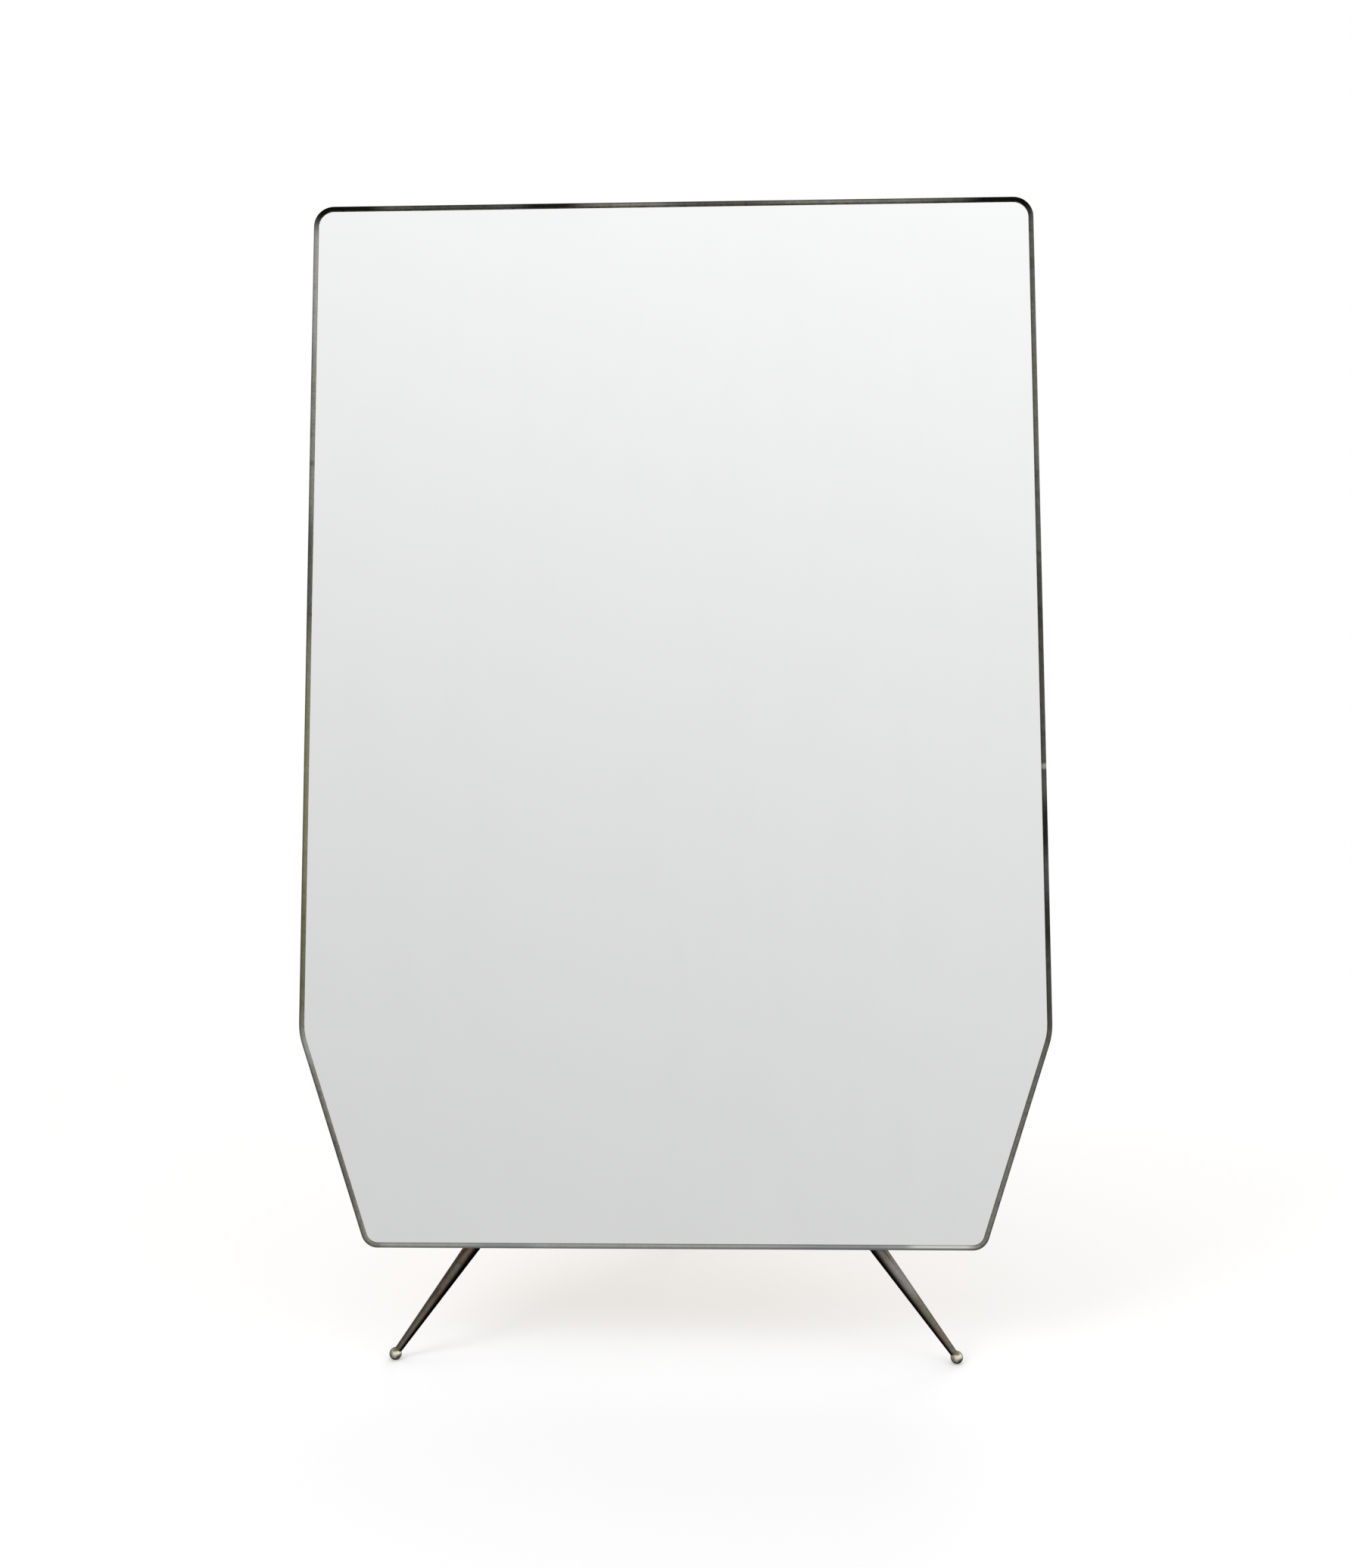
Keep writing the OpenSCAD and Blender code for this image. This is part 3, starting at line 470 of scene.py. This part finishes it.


# %% [markdown]
# The rim
# On the rim the skin has gone grey. At both top corners and along the left half of the top it is
# painted darkest, as shade standing for the dim ceiling that the top reflects, and it is darkest
# too down the lower right side. Down the lower left side the skin is thin and the brass comes
# through. The list gives each of these ragged clouds its centre, its reach, its strength and its
# tone. The bottom edge is the palest, wiped each time the floor is, but less well above the legs,
# and by the right corner its inner edge carries a painted highlight, nearly white. The two halves
# of the rim butt at half height, and a small painted highlight marks the joint, clear on the right
# and faint on the left. These marks are painted over the skin in that order, at heights that come
# from the rim's own box.

# %% Skin of the rim
RIM_TONES = ((0.290, 0.290, 0.255), (0.300, 0.280, 0.220), (0.310, 0.325, 0.330))
PALE = (0.545, 0.555, 0.570)
BRASSY = (0.255, 0.242, 0.108)
RIM_CLOUDS_AND_SHADE = (
    ((-0.500, 1.500), 0.150, 0.40, PALE),
    ((-0.518, 0.720), 0.360, 0.55, BRASSY),
    ((-0.508, 0.432), 0.035, 0.35, PALE),
    # These eight rows along the top are painted shade, for the dim ceiling that the top of the rim
    # reflects.
    ((-0.487, 1.608), 0.045, 0.98, BLACKEST),
    ((0.487, 1.608), 0.045, 0.98, BLACKEST),
    ((-0.450, 1.606), 0.072, 0.98, BLACKEST),
    ((0.452, 1.606), 0.072, 0.98, BLACKEST),
    ((0.400, 1.606), 0.085, 0.42, BLACKEST),
    ((-0.270, 1.600), 0.200, 0.68, BLACKEST),
    ((-0.170, 1.600), 0.060, 0.92, BLACKEST),
    ((0.065, 1.600), 0.110, 0.55, BLACKEST),
    ((-0.510, 1.080), 0.120, 0.50, BLACKEST),
    ((-0.515, 0.560), 0.120, 0.25, BLACKEST),
    ((0.510, 1.550), 0.110, 0.25, BLACKEST),
    ((0.510, 1.300), 0.460, 0.40, BLACKEST),
    ((0.520, 1.050), 0.070, 0.40, BLACKEST),
    ((0.520, 0.750), 0.500, 0.62, BLACKEST),
    ((0.520, 0.729), 0.050, 0.80, BLACKEST),
    ((0.520, 0.600), 0.060, 0.60, BLACKEST),
    ((0.520, 0.500), 0.070, 0.40, BLACKEST),
    ((-0.460, 0.280), 0.090, 0.22, BLACKEST),
    ((-0.235, 0.168), 0.060, 0.55, BLACKEST),
    ((0.225, 0.168), 0.100, 0.62, BLACKEST),
)
# Where the rim's painted underside shade starts and where it is full.
RIM_UNDERSIDE_SHADE = (0.15, 0.75)

rim_brass = make_darkened_brass("rim_brass", 0.0, RIM_TONES, stains=0.35, specks=0.15,
                                underside_shade=RIM_UNDERSIDE_SHADE, marks_and_painted_light=RIM_CLOUDS_AND_SHADE)

# %% Wipe the bottom edge and paint its highlight
WIPED_FULL = 0.02
WIPED_RISE = 0.05
WIPED_HALF = 0.41
WIPED_FADE = 0.02
WIPED_SHARE = 0.5
BOTTOM_HIGHLIGHT_RISE = 0.0045
BOTTOM_HIGHLIGHT_FADE = 0.002
BOTTOM_HIGHLIGHT_MIDDLE = 0.362
BOTTOM_HIGHLIGHT_HALF = 0.052
BOTTOM_HIGHLIGHT_SHARE = 0.75
BOTTOM_HIGHLIGHT = (0.850, 0.840, 0.790)


def wipe_bottom_edge_and_highlight(material):
    across, _, height = axes(object_place(material.node_tree))
    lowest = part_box("frame_lower")[0].z
    bottom = 1 - patches(height, lowest + WIPED_FULL, lowest + WIPED_RISE)
    between = 1 - patches(abs(across), WIPED_HALF - WIPED_FADE, WIPED_HALF)
    paint_over(material, bottom * between * WIPED_SHARE, PALE)
    # Painted highlight: a nearly white line along the bottom's inner edge, by the right corner.
    inner = patches(height, lowest + BOTTOM_HIGHLIGHT_RISE, lowest + BOTTOM_HIGHLIGHT_RISE + BOTTOM_HIGHLIGHT_FADE)
    along = 1 - patches(abs(across - BOTTOM_HIGHLIGHT_MIDDLE), BOTTOM_HIGHLIGHT_HALF * 0.6, BOTTOM_HIGHLIGHT_HALF)
    paint_over(material, bottom * inner * along * BOTTOM_HIGHLIGHT_SHARE, BOTTOM_HIGHLIGHT)
    print("rim wiped up to", round(lowest + WIPED_RISE, 3), "m")


wipe_bottom_edge_and_highlight(rim_brass)

# %% Paint a highlight at the joints
JOINT_HIGHLIGHT_REACH = 0.005
JOINT_HIGHLIGHT_LEFT = 0.08
JOINT_HIGHLIGHT_RIGHT = 0.45
JOINT_HIGHLIGHT = (0.78, 0.74, 0.60)
JOINT_HIGHLIGHT_FRAY_SCALE = 420
MIDDLE_STRIP = 0.1


def paint_joint_highlights(material):
    place = object_place(material.node_tree)
    across, _, height = axes(place)
    joint_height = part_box("frame_lower")[1].z
    # Painted highlight: a small bright band where the two halves of the rim meet.
    fray = noise(place, JOINT_HIGHLIGHT_FRAY_SCALE, 4, 0.7) * (JOINT_HIGHLIGHT_REACH * 1.4)
    away = abs(height - joint_height) + fray
    band = 1 - patches(away, JOINT_HIGHLIGHT_REACH * 0.9, JOINT_HIGHLIGHT_REACH * 1.8)
    on_the_right = patches(across, -MIDDLE_STRIP, MIDDLE_STRIP)
    share = on_the_right * (JOINT_HIGHLIGHT_RIGHT - JOINT_HIGHLIGHT_LEFT) + JOINT_HIGHLIGHT_LEFT
    paint_over(material, band * share, JOINT_HIGHLIGHT)
    print("filed joints at a height of", round(joint_height, 4), "m")


paint_joint_highlights(rim_brass)
dress(rim_brass, "frame_upper", "frame_lower", "frame_screws", "splice_screws")

# %% [markdown]
# The legs
# The legs were turned on a lathe, so under the same dark skin they carry fine rings round their
# length. The distance along a leg is the dot product of a point with the leg's direction, and a
# noise of that one number gives rings of uneven depth at any angle. Each leg has clouds of its
# own, from a seed of its own, and they are smaller than the rim's, because a leg is slim. The
# right front leg carries a painted highlight, paler over a short stretch below the panel.

# %% Rings left by the lathe
RING_SCALE = 1300


def turning_rings(place, direction):
    step = vector_math("DOT_PRODUCT", place, direction, "Value")
    inputs = {"W": step, "Scale": RING_SCALE, "Detail": 2}
    return add_node(place.tree, "ShaderNodeTexNoise", {"noise_dimensions": "1D"}, inputs)


def leg_direction(name):
    low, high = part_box(name)
    side = math.copysign(1, low.x + high.x)
    return Vector((-side * (high.x - low.x), 0, high.z - low.z)).normalized()


def rear_leg_direction():
    low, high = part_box("rear_leg_tube")
    return Vector((0, low.y - high.y, high.z - low.z)).normalized()


# %% Finish for the three legs and the fittings
LEG_TONES = ((0.220, 0.200, 0.150), (0.240, 0.170, 0.130), (0.230, 0.245, 0.245))
# The right leg's one place is a painted highlight, paler over a short stretch below the panel.
FRONT_LEGS = {"left": (3.1, ()), "right": (2.3, (((0.308, 0.118), 0.045, 0.30, PALE),))}
FRONT_CLOUDS = 2.4
REAR_SEED = 8.3
REAR_CLOUDS = 2.0
FITTING_SEED = 11.9

for side, (seed, leg_highlights) in FRONT_LEGS.items():
    leg = f"front_leg_{side}"
    skin = make_darkened_brass(f"leg_brass_{side}", seed, LEG_TONES, clouds=FRONT_CLOUDS,
                               marks_and_painted_light=leg_highlights, rings_along=leg_direction(leg))
    dress(skin, leg)

rear_brass = make_darkened_brass("leg_brass_rear", REAR_SEED, LEG_TONES, clouds=REAR_CLOUDS,
                                 rings_along=rear_leg_direction())
dress(rear_brass, "rear_leg_tube", "knuckle_cross_pin")
fitting_brass = make_darkened_brass("fitting_brass", FITTING_SEED, LEG_TONES, stains=0.5)
dress(fitting_brass, "hinge_bracket", "rear_leg_knuckle", "leg_plate_left", "leg_plate_right",
      "leg_plate_screws")

# %% [markdown]
# Ball feet
# The balls are the one bright spot: pale brass, kept clean by the floor, with a brown bloom where
# each ball meets its leg, and painted shade underneath, where it stands.

# %% Finish for the ball feet
BALL_BRASS = (0.80, 0.76, 0.61)
BALL_FLECK = (0.45, 0.36, 0.22)
BALL_BLOOM = (0.22, 0.17, 0.10)
# Painted shade under each ball, dark where it stands.
BALL_UNDER_SHADE = (0.050, 0.045, 0.025)
BALL_UNDERSIDE_SHADE = (0.05, 0.70)
BALL_SLANT = (0.05, 0.05, 0.04)
BLOOM_FROM = 0.0125
BLOOM_TO = 0.0195
BLOOM_FRAY_SCALE = 260
BLOOM_FRAY = 0.004
FLECK_SCALE = 900
BALL_DEPTH = 0.00003


def make_bright_brass():
    material, tree = start_finish("bright_brass")
    place = object_place(tree)
    height = axes(place)[2]
    ragged = height + noise(place, BLOOM_FRAY_SCALE, 3) * BLOOM_FRAY
    bloom = patches(ragged, BLOOM_FROM, BLOOM_TO)
    fleck = patches(noise(place, FLECK_SCALE, 4, 0.65), 0.56, 0.72)
    colour = layered(BALL_BRASS, (fleck, 0.25, BALL_FLECK), (bloom, 0.75, BALL_BLOOM),
                     (painted_underside_shade(tree, *BALL_UNDERSIDE_SHADE), UNDERSIDE_SHADE_SHARE, BALL_UNDER_SHADE))
    close_finish(tree, colour, 0.16 + fleck * 0.12, fleck, BALL_DEPTH, 1.0, BALL_SLANT)
    return material


dress(make_bright_brass(), "ball_foot_left", "ball_foot_right", "ball_foot_rear")

# %% [markdown]
# Steel
# The screws of the rail, the batten and the bracket, the studs, pin, washer, nut and splice plates
# are plain steel: grey, brushed by handling, with a trace of brown in the hollows.

# %% Finish for the steel
STEEL = ((0.42, 0.42, 0.41), (0.60, 0.60, 0.58))
RUST = (0.16, 0.09, 0.05)
BRUSHED_ALONG = (1, 0.06, 1)
BRUSH_SCALE = 900
BRUSH_DEPTH = 0.00004
RUST_SCALE = 130


def make_steel():
    material, tree = start_finish("plain_steel")
    brushed = noise(object_place(tree, BRUSHED_ALONG), BRUSH_SCALE, 3, 0.6)
    rust = patches(noise(object_place(tree), RUST_SCALE, 5, 0.7), 0.58, 0.78)
    colour = layered(blend(patches(brushed, 0.3, 0.7), *STEEL), (rust, 0.5, RUST))
    roughness = 0.26 + brushed * 0.16 + rust * 0.25
    close_finish(tree, colour, roughness, brushed, BRUSH_DEPTH, metallic=1.0)
    return material


dress(make_steel(), "rail_screws", "batten_screws", "bracket_screws", "hinge_pin", "hinge_washer",
      "hinge_nut", "leg_stud_left", "leg_stud_right", "splice_plate_left", "splice_plate_right")

# %% [markdown]
# The silvered glass
# A mirror is the simplest finish and the hardest to make look like anything: a metal with no
# roughness, that shows the studio's wall. What makes it a real one is faint: a cool tint, a breath
# of dust and the wiping marks of a cloth, all so slight that they only soften what is reflected.

# %% Finish for the mirror
SILVER = ((0.932, 0.938, 0.936), (0.922, 0.928, 0.926))
CLOTH_ALONG = (1, 1, 0.35)
CLOTH_SLANT = (0, math.radians(24), 0)
CLOTH_SCALE = 9
DUST_SCALE = 700


def make_silvered_glass():
    material, tree = start_finish("silvered_glass")
    wipes = noise(object_place(tree, CLOTH_ALONG, CLOTH_SLANT), CLOTH_SCALE, 4, 0.6, 1.2)
    dust = noise(object_place(tree), DUST_SCALE, 2)
    colour = blend(patches(wipes, 0.35, 0.75), *SILVER)
    roughness = 0.006 + patches(wipes, 0.5, 0.8) * 0.012 + patches(dust, 0.66, 0.8) * 0.03
    close_finish(tree, colour, roughness, metallic=1.0)
    return material


dress(make_silvered_glass(), "mirror_glass")

# %% [markdown]
# Wood
# A flat-sawn or peeled face shows the tree's rings as long arches: each ring darkens slowly and
# then ends at a sharp line. A slow noise drawn out along the grain stands for the tree's uneven
# cone. Multiplied by a number of rings, it is cut into whole rings, and the fraction that is left
# over runs from 0 to 1 across each: pale at first, dark towards the line. Fine streaks along the
# grain are the fibres, which also fray each ring's line, and short dark dashes are the pores. A
# pattern is drawn out along the grain by a scale below one there: the smaller it is, the longer
# the pattern gets.

# %% Rings, fibres and pores
CONE_SCALE = 2.6
FIBRE_SCALE = 340
HAIR_SCALE = 1300
PORE_SCALE = 520
MELLOW_SCALE = 2.2
RING_ALONG = 0.30
RING_ACROSS = 3.2
FIBRE_ALONG = 0.025
PORE_ALONG = 0.10
WOOD_DEPTH = 0.00012


def ring_shade(place, rings, fray):
    cone = noise(place, CONE_SCALE, 2, 0.45, 0.25) * rings + fray
    across_ring = cone.math("FRACT")
    return patches(across_ring, 0.15, 0.93) * (1 - patches(across_ring, 0.95, 1.0))


def drawn_out(place, long_axis, along, across=1.0):
    stretch = [along if k == long_axis else across for k in range(3)]
    return add_node(place.tree, "ShaderNodeMapping", None, {"Vector": place, "Scale": stretch})


# %% Finish for any wood
def make_wood(name, place_for, long_axis, rings, tones, smoothest):
    material, tree = start_finish(name)
    place = place_for(tree)
    slow = drawn_out(place, long_axis, RING_ALONG, RING_ACROSS)
    fine = drawn_out(place, long_axis, FIBRE_ALONG)
    short = drawn_out(place, long_axis, PORE_ALONG)
    light, dark, pore_colour = tones
    fibre = noise(fine, FIBRE_SCALE, 4, 0.65)
    hair = noise(fine, HAIR_SCALE, 2, 0.6)
    ring = ring_shade(slow, rings, fibre * 0.5 + hair * 0.2)
    pores = patches(noise(short, PORE_SCALE, 2, 0.5), 0.64, 0.72)
    mellow = noise(place, MELLOW_SCALE, 3)
    worn = worn_edges(tree, place)
    colour = layered(light, (ring, 0.75, dark), (patches(fibre, 0.35, 0.75), 0.30, dark),
                     (patches(hair, 0.45, 0.70), 0.22, dark),
                     (patches(mellow, 0.35, 0.75), 0.22, dark),
                     (pores, 0.6, pore_colour), (worn, 0.45, light))
    height = fibre * 0.4 - pores * 0.6 - ring * 0.25
    close_finish(tree, colour, smoothest + pores * 0.18 + fibre * 0.10, height, WOOD_DEPTH)
    return material


# %% [markdown]
# The board
# The board's face veneer is laid in leaves about a third of a metre wide, jointed edge to edge.
# Each leaf comes from another place in the log, so its figure is another stretch of the same
# pattern, and the figure breaks off sharply where two leaves meet. Hands that carry the panel by
# its long sides have darkened the wood there, and so has damp from the floor along the bottom.

# %% Leaves of veneer
LEAF_WIDTH = 0.345
LEAF_STEP_ACROSS = 0.61
LEAF_STEP_ALONG = 1.37


def veneer_leaves(tree):
    place = object_place(tree)
    leaf = (axes(place)[0] * (1 / LEAF_WIDTH) + 0.5).math("FLOOR")
    inputs = {"X": leaf * LEAF_STEP_ACROSS, "Z": leaf * LEAF_STEP_ALONG}
    return shifted(place, add_node(tree, "ShaderNodeCombineXYZ", None, inputs))


# %% Finish for the plywood
UPRIGHT = 2
PLY_RINGS = 30
PLY_SMOOTHEST = 0.44
PLY_TONES = ((0.640, 0.470, 0.285), (0.430, 0.270, 0.135), (0.230, 0.135, 0.070))
HANDLED = (0.300, 0.190, 0.100)
HANDLED_SHARE = 0.45
HANDLED_FRAY = 0.16
HELD_FROM = -0.02
HELD_TO = 0.14
DAMP_FROM = -0.06
DAMP_TO = 0.08


def add_handling(material):
    place = object_place(material.node_tree)
    across, _, height = axes(place)
    low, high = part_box("back_board")
    ragged = noise(place, 5, 5, 0.6) * HANDLED_FRAY
    held = patches(abs(across) + ragged, high.x + HELD_FROM, high.x + HELD_TO)
    damp = 1 - patches(height - ragged, low.z + DAMP_FROM, low.z + DAMP_TO)
    paint_over(material, held.math("MAXIMUM", damp) * HANDLED_SHARE, HANDLED)
    print("board darkened at", round(high.x, 3), "m from its middle and", round(low.z, 3), "m up")


plywood = make_wood("veneered_plywood", veneer_leaves, UPRIGHT, PLY_RINGS, PLY_TONES,
                    PLY_SMOOTHEST)
add_handling(plywood)
dress(plywood, "back_board")

# %% Finish for the rail and the batten
LYING = 0
HARDWOOD_RINGS = 34
HARDWOOD_SMOOTHEST = 0.34
HARDWOOD_TONES = ((0.270, 0.138, 0.066), (0.095, 0.044, 0.022), (0.035, 0.016, 0.009))

hardwood = make_wood("oiled_hardwood", object_place, LYING, HARDWOOD_RINGS, HARDWOOD_TONES,
                     HARDWOOD_SMOOTHEST)
dress(hardwood, "leg_rail", "cross_batten")

# %% [markdown]
# Eased edges
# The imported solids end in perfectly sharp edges, which no handled piece has: a maker runs a plane
# or a file along them, and it is the soft line along each edge that tells the eye so. The rim, the
# rail, the batten and the leg plates are copied, the copy's loose triangles are merged into a
# shell, and its long outer edges are bevelled. The rims of the screw holes are made of very short
# edges, so a shortest length leaves them out. The rim's bent lengths are a fiftieth of a
# millimetre slimmer than its straight ones: the faces of that step are thin rings, and their edges
# stay as they are. The new faces carry the attribute worn, which the finishes read. The copy
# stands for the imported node, which stays behind it for the physics, and takes that node's material
# slot.

# %% Find the outer edges
SHARP_FROM = math.radians(20)
THIN_FACE = 0.00005


def beside_thin_face(edge):
    return any(face.calc_area() < face.calc_perimeter() * THIN_FACE for face in edge.link_faces)


def outer_edges(shape, shortest):
    sharp = [edge for edge in shape.edges if edge.is_convex and edge.calc_face_angle() > SHARP_FROM]
    return [edge for edge in sharp if edge.calc_length() > shortest and not beside_thin_face(edge)]


# %% Ease the edges of a copy
MERGE_WITHIN = 0.00002
FLAT_WITHIN = math.radians(1)
CUBIC_MM = 1e9


def eased(name, width, shortest, clamp):
    source = nodes[name]
    shape = bmesh.new()
    shape.from_mesh(source.data)
    bmesh.ops.remove_doubles(shape, verts=shape.verts, dist=MERGE_WITHIN)
    bmesh.ops.dissolve_limit(shape, angle_limit=FLAT_WITHIN, verts=shape.verts, edges=shape.edges)
    worn = shape.faces.layers.float.new("worn")
    before = shape.calc_volume()
    outer = outer_edges(shape, shortest)
    fresh = bmesh.ops.bevel(shape, geom=outer, offset=width, segments=2, affect="EDGES",
                            profile=0.5, material=-1, clamp_overlap=clamp)
    for face in fresh["faces"]:
        face[worn] = 1
    for face in shape.faces:
        face.smooth = False
    shaved = round((before - shape.calc_volume()) * CUBIC_MM)
    open_edges = sum(not edge.is_manifold for edge in shape.edges)
    piece = mesh_object(f"{name}_eased", shape)
    piece.data.materials.append(source.data.materials[0])
    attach(piece, "mirror")
    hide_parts(name)
    print(piece.name, "-", len(outer), "edges, shaving off", shaved, "mm3, open:", open_edges)


# %% [markdown]
# The eased pieces
# Each row gives a piece, the width of its easing, its shortest eased edge, and whether the width
# gives way where two edges are close. On the rim it must not, or its many short bends would shrink
# the easing of the whole rim to nothing.

# %% Ease the six pieces
EASED = (
    ("frame_upper", 0.00025, 0.0012, False),
    ("frame_lower", 0.00025, 0.0012, False),
    ("leg_rail", 0.0014, 0.003, True),
    ("cross_batten", 0.0014, 0.003, True),
    ("leg_plate_left", 0.0004, 0.0007, True),
    ("leg_plate_right", 0.0004, 0.0007, True),
)

for name, width, shortest, clamp in EASED:
    eased(name, width, shortest, clamp)

# %% [markdown]
# Felt and cork
# The felt between glass and board and the cork blocks under the glass are nearly hidden, but they
# are seen when the mirror is taken apart, so they get a finish too.

# %% Finish for felt and cork
FELT = ((0.075, 0.080, 0.078), (0.030, 0.032, 0.031))
CORK = ((0.46, 0.28, 0.14), (0.16, 0.08, 0.035))
FELT_SCALE = 900
CORK_SCALE = 520
CRUMB_TO_FIBRE = 0.35
PACKING_DEPTH = 0.0002


def make_soft_packing(name, scale, light, dark):
    material, tree = start_finish(name)
    place = object_place(tree)
    fibre = noise(place, scale, 5, 0.7, 0.8)
    crumb = patches(noise(place, scale * CRUMB_TO_FIBRE, 3), 0.42, 0.62)
    colour = layered(blend(patches(fibre, 0.3, 0.7), dark, light), (crumb, 0.4, dark))
    close_finish(tree, colour, 0.95 - crumb * 0.08, fibre, PACKING_DEPTH)
    return material


dress(make_soft_packing("grey_felt", FELT_SCALE, *FELT), "backing_felt")
dress(make_soft_packing("cork", CORK_SCALE, *CORK), "setting_blocks")

# %% [markdown]
# Close The view transform is set to Standard, so that colours show as they are written.

# %% Finish the scene
bpy.context.scene.view_settings.view_transform = "Standard"
